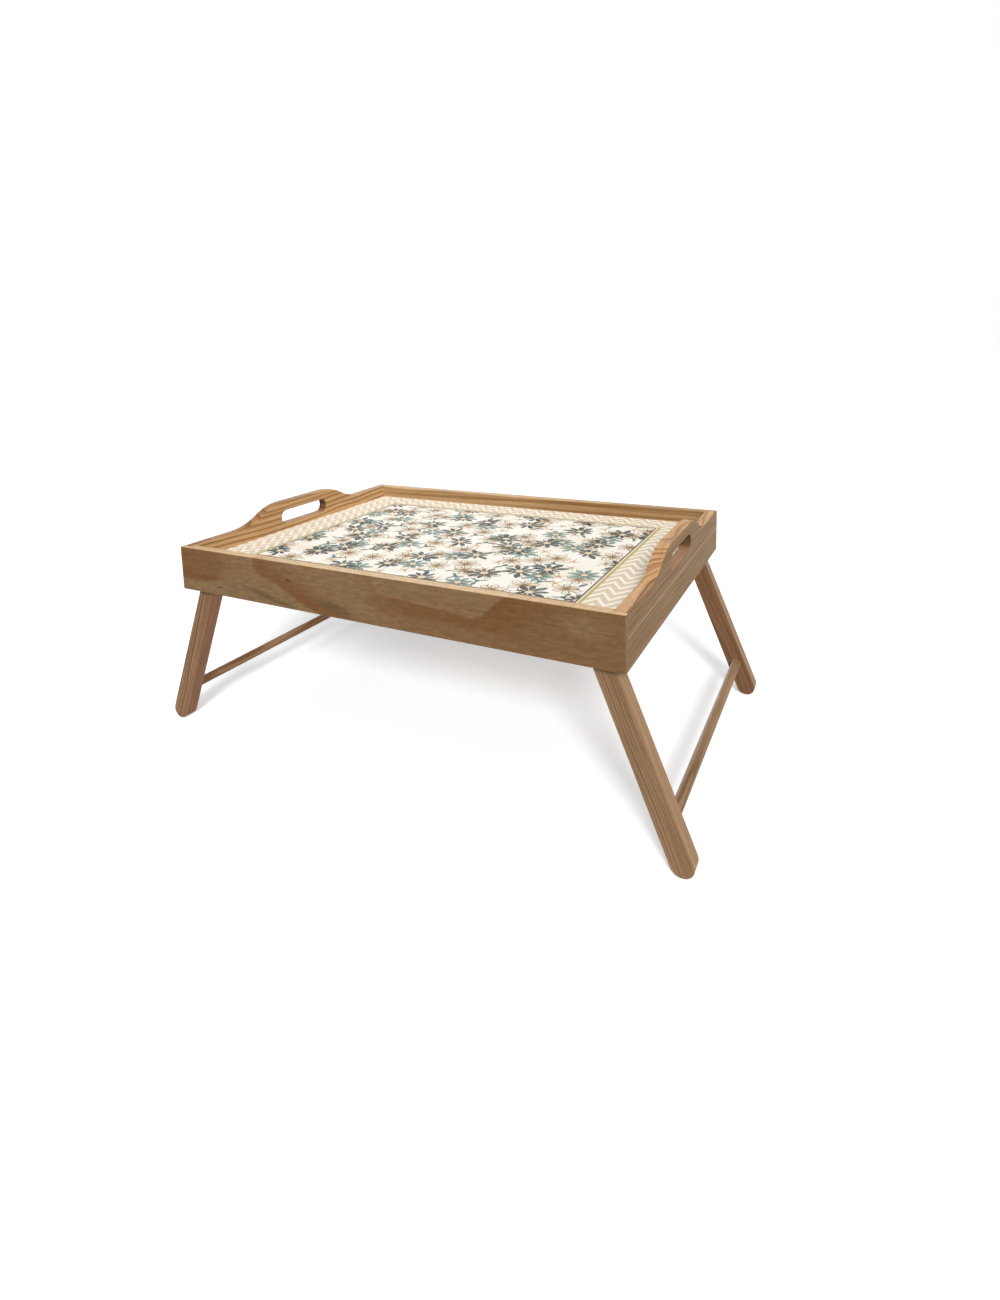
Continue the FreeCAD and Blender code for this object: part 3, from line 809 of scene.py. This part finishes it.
blossom, given, result = new_group(
    "blossom_scatter",
    {"vector": ["Position"], "value": SHAPE},
    {"value": ["Petal", "Outline", "Vein", "Heart", "Reach"]},
)
scatter = {"Vector": given["Position"], "Scale": calc(blossom, "DIVIDE", 1.0, given["Pitch"]),
           "Randomness": given["Jitter"]}
cells = put(blossom, "ShaderNodeTexVoronoi", scatter, voronoi_dimensions="2D").outputs
across, along, _ = split(blossom, vector_calc(blossom, "SUBTRACT", given["Position"], cells["Position"]))
distance = calc(blossom, "SQRT", squares(blossom, across, along))
reach = calc(blossom, "DIVIDE", distance, given["Radius"])
angle = calc(blossom, "DIVIDE", calc(blossom, "ARCTAN2", along, across), math.tau)
turned = calc(blossom, "ADD", angle, split(blossom, cells["Color"])[0])
print("blossom centres:", len(blossom.nodes), "nodes")

# %% Node group: blossom scatter, its petals
count = product(blossom, turned, given["Petals"])
petal_number = calc(blossom, "FLOORED_MODULO", calc(blossom, "FLOOR", count), given["Petals"])
seed = put(blossom, "ShaderNodeVectorMath", {0: cells["Color"], "Scale": petal_number}, operation="SCALE")
luck = put(blossom, "ShaderNodeTexWhiteNoise", {"Vector": seed.outputs[0]}, noise_dimensions="3D").outputs[0]
length = calc(blossom, "SUBTRACT", 1.0, product(blossom, luck, given["Raggedness"]))
petal_reach = calc(blossom, "DIVIDE", reach, length)
taper = calc(blossom, "SUBTRACT", 1.0, calc(blossom, "POWER", petal_reach, given["Bluntness"]))
span = product(blossom, taper, given["Width"])
from_rib = calc(blossom, "ABSOLUTE", calc(blossom, "MULTIPLY_ADD", calc(blossom, "FRACT", count), 2.0, -1.0))
half_arc = calc(blossom, "DIVIDE", product(blossom, distance, math.pi), given["Petals"])
depth = product(blossom, calc(blossom, "SUBTRACT", span, from_rib), half_arc)
print("blossom petals:", len(blossom.nodes), "nodes")

# %% Node group: blossom scatter, its masks
SOFT = 0.15 * MM
VEIN_RIM, VEIN_FULL = 0.35 * MM, 0.15 * MM
VEIN_TIP, VEIN_FADES = 0.85, 0.60
HEART_RIM, HEART_FULL = 0.20, 0.16

petal = soft_step(blossom, depth, -SOFT, SOFT)
rib = soft_step(blossom, product(blossom, from_rib, half_arc), VEIN_RIM, VEIN_FULL)
put_out(blossom, result, {
    "Petal": petal,
    "Outline": product(blossom, petal, calc(blossom, "LESS_THAN", depth, given["Line"])),
    "Vein": product(blossom, rib, petal, soft_step(blossom, reach, VEIN_TIP, VEIN_FADES)),
    "Heart": soft_step(blossom, reach, HEART_RIM, HEART_FULL),
    "Reach": reach,
})

# %% [markdown]
# The field is off-white paper with a faint beige wash. Printed watercolour is never even, so a fine wobble
# bends the outlines and a noise thins the ink here and there. It is one material with layers, because a
# second sheet of blossoms would need a gap above the first.

# %% Printed sheet: paper and ink
OFF_WHITE, BEIGE_WASH = paint(248, 243, 233), paint(242, 230, 209)
WOBBLE_LUMPS, WOBBLE_REACH = 140.0, 2.0 * MM
WASH_LUMPS, WASH_DETAIL, WASH_LEVELS = (26.0,) * 3, 3.0, (0.48, 0.74)
INK_LUMPS, INK_LEVELS, INK_SHARES = (110.0,) * 3, (0.35, 0.60), (0.75, 1.00)

sheet_print, tree, shader = new_finish("blossom_print")
own = put(tree, "ShaderNodeTexCoord").outputs["Object"]
wobble = put(tree, "ShaderNodeTexNoise", {"Vector": own, "Scale": WOBBLE_LUMPS, "Detail": 2.0})
wobble = vector_calc(tree, "SUBTRACT", wobble.outputs["Color"], (NOISE_MIDDLE,) * 3)
drawn = vector_calc(tree, "MULTIPLY_ADD", wobble, (WOBBLE_REACH, WOBBLE_REACH, 0.0), own)
wash = soft_step(tree, cloud(tree, own, WASH_LUMPS, WASH_DETAIL), *WASH_LEVELS)
thin_ink = soft_step(tree, cloud(tree, own, INK_LUMPS), *INK_LEVELS, *INK_SHARES)
field = mix(tree, wash, OFF_WHITE, BEIGE_WASH)
print("paper ready:", len(tree.nodes), "nodes")

# %% [markdown]
# Five kinds of blossom and sprig lie over one another, the small ones at the bottom and the large dark ones
# on top, as a painter would build up such a spray. One kind in five colours would look like wallpaper, so
# each has its own spacing, size, number of petals and shape.

# %% Printed sheet: the blossoms
DARK_TEAL, TEAL, AQUA = paint(10, 36, 33), paint(54, 94, 87), paint(150, 184, 171)
TAN, SAND, BROWN = paint(194, 152, 100), paint(230, 208, 172), paint(132, 100, 62)
INNER_PETAL, OUTER_PETAL = 0.2, 0.8
BLOSSOMS = {
    # pitch, radius and line are in metres; width is the share of its sector that a petal fills at the heart
    "tan sprigs": dict(
        shift=(0.017, 0.008), pitch=0.027, jitter=0.90, radius=0.0130, petals=5, width=0.34, bluntness=2.0,
        raggedness=0.55, line=0.0, heart=TAN, inner=TAN, outer=SAND, edge=TAN),
    "teal sprigs": dict(
        shift=(0.004, 0.019), pitch=0.042, jitter=0.90, radius=0.0160, petals=3, width=0.34, bluntness=2.0,
        raggedness=0.40, line=0.0, heart=TEAL, inner=TEAL, outer=DARK_TEAL, edge=AQUA),
    "cream blossoms": dict(
        shift=(0.000, 0.000), pitch=0.040, jitter=0.80, radius=0.0175, petals=6, width=0.92, bluntness=4.0,
        raggedness=0.20, line=0.0012, heart=BROWN, inner=SAND, outer=OFF_WHITE, edge=BROWN),
    "aqua blossoms": dict(
        shift=(0.010, 0.004), pitch=0.066, jitter=0.80, radius=0.0195, petals=8, width=0.85, bluntness=4.0,
        raggedness=0.30, line=0.0008, heart=SAND, inner=TEAL, outer=AQUA, edge=TEAL),
    "dark blossoms": dict(
        shift=(0.035, 0.029), pitch=0.053, jitter=0.75, radius=0.0230, petals=9, width=0.84, bluntness=3.5,
        raggedness=0.50, line=0.0008, heart=SAND, inner=DARK_TEAL, outer=DARK_TEAL, edge=DARK_TEAL),
}

for kind in BLOSSOMS.values():
    shifted = vector_calc(tree, "ADD", drawn, (*kind["shift"], 0.0))
    made = use(tree, blossom, {"Position": shifted, **{label: kind[label.lower()] for label in SHAPE}})
    outwards = soft_step(tree, made["Reach"], INNER_PETAL, OUTER_PETAL)
    petal_paint = mix(tree, outwards, kind["inner"], kind["outer"])
    field = mix(tree, product(tree, made["Petal"], thin_ink), field, petal_paint)
    field = mix(tree, made["Vein"], field, kind["edge"])
    field = mix(tree, made["Outline"], field, kind["edge"])
    field = mix(tree, made["Heart"], field, kind["heart"])
print("printed:", ", ".join(BLOSSOMS))

# %% [markdown]
# Round the field runs a thin frame, dark, pale and gold, and outside it a border of cream and beige zigzags.
# A zigzag is a straight stripe whose height swings to and fro along X: Blender's ping-pong sum gives the
# swing. The border's width is taken in from the rails' inner faces, so it follows the tray's size.

# %% Printed sheet: the border
BORDER_AT_ENDS, BORDER_AT_SIDES = 50.0 * MM, 42.0 * MM
ZIGZAG_LENGTH, ZIGZAG_HEIGHT, ZIGZAG_ROWS = 20.4 * MM, 16.0 * MM, 16.0 * MM
ZIGZAG_CREAM, ZIGZAG_SOFT = 0.40, 0.02
ROW_MIDDLE = 0.5
CREAM, BEIGE = paint(248, 240, 225), paint(217, 200, 174)

across, along, _ = split(tree, own)
swing = calc(tree, "PINGPONG", across, ZIGZAG_LENGTH / 2)
zigzag = calc(tree, "MULTIPLY_ADD", swing, 2 * ZIGZAG_HEIGHT / ZIGZAG_LENGTH, along)
row = calc(tree, "FRACT", calc(tree, "DIVIDE", zigzag, ZIGZAG_ROWS))
from_middle = calc(tree, "ABSOLUTE", calc(tree, "SUBTRACT", row, ROW_MIDDLE))
beige = soft_step(tree, from_middle, ZIGZAG_CREAM / 2 - ZIGZAG_SOFT, ZIGZAG_CREAM / 2 + ZIGZAG_SOFT)
border = mix(tree, beige, CREAM, BEIGE)

field_half_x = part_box("right_end_rail")[0].x - BORDER_AT_ENDS
field_half_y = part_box("back_rail")[0].y - BORDER_AT_SIDES
past_x = calc(tree, "SUBTRACT", calc(tree, "ABSOLUTE", across), field_half_x)
past_y = calc(tree, "SUBTRACT", calc(tree, "ABSOLUTE", along), field_half_y)
past_field = calc(tree, "MAXIMUM", past_x, past_y)
print("field:", round(2 * field_half_x, 4), "by", round(2 * field_half_y, 4), "m")

# %% [markdown]
# The frame's lines and the border are laid over the field one after another, each from where the last one
# ends. The sheet is a dull paper film: a trace of beige in the ink, little gloss, and a very fine bump.

# %% Printed sheet: frame and gloss
LINE_BROWN, GOLD = paint(104, 84, 66), paint(190, 172, 104)
FRAME_LINES = ((2.0 * MM, LINE_BROWN), (1.2 * MM, CREAM), (3.3 * MM, GOLD), (0.0, border))
LINE_SOFT = 0.1 * MM
SPECK_LUMPS, SPECK_LEVELS, SPECK_SHARES = (900.0,) * 3, (0.30, 0.75), (0.00, 0.08)
SHEET_ROUGHNESS, SHEET_GLOSS = 0.62, 0.10
PAPER_LUMPS, PAPER_STRENGTH, PAPER_DEPTH = (1500.0,) * 3, 0.12, 0.05 * MM

colour = field
start = 0.0
for width, line_paint in FRAME_LINES:
    colour = mix(tree, soft_step(tree, past_field, start - LINE_SOFT, start + LINE_SOFT), colour, line_paint)
    start += width
specks = soft_step(tree, cloud(tree, own, SPECK_LUMPS), *SPECK_LEVELS, *SPECK_SHARES)
tree.links.new(mix(tree, specks, colour, BEIGE), shader.inputs["Base Color"])
shader.inputs["Roughness"].default_value = SHEET_ROUGHNESS
shader.inputs["Specular IOR Level"].default_value = SHEET_GLOSS
bumped(tree, shader, cloud(tree, own, PAPER_LUMPS), PAPER_STRENGTH, PAPER_DEPTH)
finish(["printed_sheet"], sheet_print)

# %% [markdown]
# Under the sheet is a thin fibreboard. Only its underside shows: fine pressed fibres, mottled brown. Plain
# brown would look like plastic, so a slow noise mottles it, and a fine one gives dark specks that are also
# smoother and stand a little proud.

# %% Fibreboard
BOARD_PALE, BOARD_BROWN, BOARD_SPECK = paint(178, 140, 100), paint(160, 122, 84), paint(126, 90, 58)
BOARD_LUMPS, BOARD_DETAIL, BOARD_LEVELS = (60.0,) * 3, 4.0, (0.35, 0.65)
FLECK_LUMPS, FLECK_DETAIL, FLECK_LEVELS, FLECK_SHARE = (900.0, 500.0, 700.0), 3.0, (0.35, 0.70), 0.35
BOARD_ROUGHNESS, FLECK_ROUGHNESS = 0.75, 0.60
FLECK_STRENGTH, FLECK_DEPTH = 0.25, 0.1 * MM

board, tree, shader = new_finish("panel_fibreboard")
own = put(tree, "ShaderNodeTexCoord").outputs["Object"]
mottle = soft_step(tree, cloud(tree, own, BOARD_LUMPS, BOARD_DETAIL), *BOARD_LEVELS)
fleck = soft_step(tree, cloud(tree, own, FLECK_LUMPS, FLECK_DETAIL), *FLECK_LEVELS)
colour = mix(tree, mottle, BOARD_PALE, BOARD_BROWN)
colour = mix(tree, product(tree, fleck, FLECK_SHARE), colour, BOARD_SPECK)
tree.links.new(colour, shader.inputs["Base Color"])
rough = soft_step(tree, fleck, 0.0, 1.0, BOARD_ROUGHNESS, FLECK_ROUGHNESS)
tree.links.new(rough, shader.inputs["Roughness"])
bumped(tree, shader, fleck, FLECK_STRENGTH, FLECK_DEPTH)
finish(["tray_panel"], board)

# %% [markdown]
# The pivots are zinc-plated steel: grey metal, a little cloudy from the plating bath, and brighter where the
# screwdriver and the turning leg have rubbed it. The edge wear made for the wood serves here too, narrower.

# %% Zinc-plated steel
ZINC_DULL, ZINC_CLEAR, ZINC_RUBBED = paint(168, 170, 172), paint(196, 196, 192), paint(224, 224, 220)
PLATING_LUMPS, PLATING_DETAIL, PLATING_LEVELS = (420.0,) * 3, 3.0, (0.30, 0.70)
ZINC_ROUGHNESS = (0.30, 0.46)
RUBBED_WIDTH, RUBBED_SHARE = 0.5 * MM, 0.5
PIVOT_PIECES = ("pivot_screw", "spacer_washer", "head_washer")

zinc, tree, shader = new_finish("zinc_plated_steel")
own = put(tree, "ShaderNodeTexCoord").outputs["Object"]
plating = cloud(tree, own, PLATING_LUMPS, PLATING_DETAIL)
rubbed = use(tree, edge_wear, {"Width": RUBBED_WIDTH, "Position": own})["Wear"]
colour = mix(tree, plating, ZINC_DULL, ZINC_CLEAR)
colour = mix(tree, product(tree, rubbed, RUBBED_SHARE), colour, ZINC_RUBBED)
tree.links.new(colour, shader.inputs["Base Color"])
shader.inputs["Metallic"].default_value = 1.0
tree.links.new(soft_step(tree, plating, *PLATING_LEVELS, *ZINC_ROUGHNESS), shader.inputs["Roughness"])
finish([f"{corner}_{piece}" for corner in LEG_WOODS for piece in PIVOT_PIECES], zinc)

# %% [markdown]
# The background is an even white. Lighting the tray until white clips would burn out the pale print, so the
# world is white only to rays that see it, from the camera, a reflection or through glass, and gives the tray
# no more than a weak light from all round.

# %% World
AMBIENT = 0.12
WHITE = (1.0, 1.0, 1.0, 1.0)


def see_rays(tree):
    """1 where the camera, a reflection or a view through glass looks, else 0."""
    path = put(tree, "ShaderNodeLightPath").outputs
    seen = calc(tree, "MAXIMUM", path["Is Camera Ray"], path["Is Glossy Ray"])
    return calc(tree, "MAXIMUM", seen, path["Is Transmission Ray"])


world = bpy.data.worlds.new("studio")
bpy.context.scene.world = world
world.use_nodes = True
tree = world.node_tree
background = tree.nodes["Background"]
background.inputs["Color"].default_value = WHITE
tree.links.new(soft_step(tree, see_rays(tree), 0.0, 1.0, AMBIENT, 1.0), background.inputs["Strength"])
bpy.context.scene.view_settings.view_transform = "Standard"
print("world light:", AMBIENT)

# %% [markdown]
# The main lamp, low at the front right, throws the one soft shadow to the back left. A broad lamp overhead,
# a weak one at the right and one behind at the left fill the tray without shadows of their own, as a ring of
# large soft boxes would. Area lamps would light the near floor more than the far one, so all are sun lamps.

# %% Lamps


def lamp(name, azimuth, elevation, level, disc, shadow):
    """A sun lamp; a white surface that faces it gets this level of light, 1 being white."""
    light = bpy.data.lights.new(name, "SUN")
    light.energy = level * math.pi
    light.angle = math.radians(disc)
    light.use_shadow = shadow
    made = bpy.data.objects.new(name, light)
    aside = Matrix.Rotation(math.radians(azimuth), 4, "Z")
    made.matrix_world = aside @ Matrix.Rotation(math.radians(90 - elevation), 4, "X")
    bpy.context.scene.collection.objects.link(made)
    print("lamp:", name, level)


lamp("overhead", azimuth=60.0, elevation=80.0, level=0.34, disc=70.0, shadow=False)
lamp("right", azimuth=85.0, elevation=10.0, level=0.25, disc=40.0, shadow=False)
lamp("back_left", azimuth=212.0, elevation=5.0, level=0.45, disc=30.0, shadow=False)
lamp("front_right", azimuth=26.5, elevation=29.8, level=0.86, disc=13.0, shadow=True)

# %% [markdown]
# The floor is a plain pale sheet, large enough to have no visible end. To rays that see it, it is lifted to
# white where the light reaches it, and keeps the shadow. To other rays it is grey, so that it doesn't throw
# too much light up under the tray. Light off the warm wood would tint the shadow, so the floor is a trace
# cooler than white. From below it is clear, so that the tray's underside can be looked at.

# %% Floor
FLOOR_HALF = 12.0
FLOOR_BOUNCE = (0.36, 0.36, 0.36, 1.0)
FLOOR_SEEN = (0.965, 0.983, 1.0, 1.0)
FLOOR_LIFT = 0.235

floor_mesh = bpy.data.meshes.new("floor")
corners = [(x * FLOOR_HALF, y * FLOOR_HALF, 0.0) for x, y in ((-1, -1), (1, -1), (1, 1), (-1, 1))]
floor_mesh.from_pydata(corners, [], [(0, 1, 2, 3)])
floor = bpy.data.objects.new("floor", floor_mesh)
bpy.context.scene.collection.objects.link(floor)

floor_finish, tree, shader = new_finish("pale_floor")
seen = see_rays(tree)
tree.links.new(mix(tree, seen, FLOOR_BOUNCE, FLOOR_SEEN), shader.inputs["Base Color"])
shader.inputs["Roughness"].default_value = 1.0
shader.inputs["Specular IOR Level"].default_value = 0.0
shader.inputs["Emission Color"].default_value = WHITE
tree.links.new(product(tree, seen, FLOOR_LIFT), shader.inputs["Emission Strength"])
clear = put(tree, "ShaderNodeBsdfTransparent").outputs[0]
from_below = put(tree, "ShaderNodeNewGeometry").outputs["Backfacing"]
one_sided = put(tree, "ShaderNodeMixShader", {0: from_below, 1: shader.outputs[0], 2: clear}).outputs[0]
tree.links.new(one_sided, tree.nodes["Material Output"].inputs["Surface"])
floor.data.materials.append(floor_finish)
print("floor:", 2 * FLOOR_HALF, "m square")

# %% [markdown]
# Last, the script tells that it has run to its end.

# %% Close
print("finished")
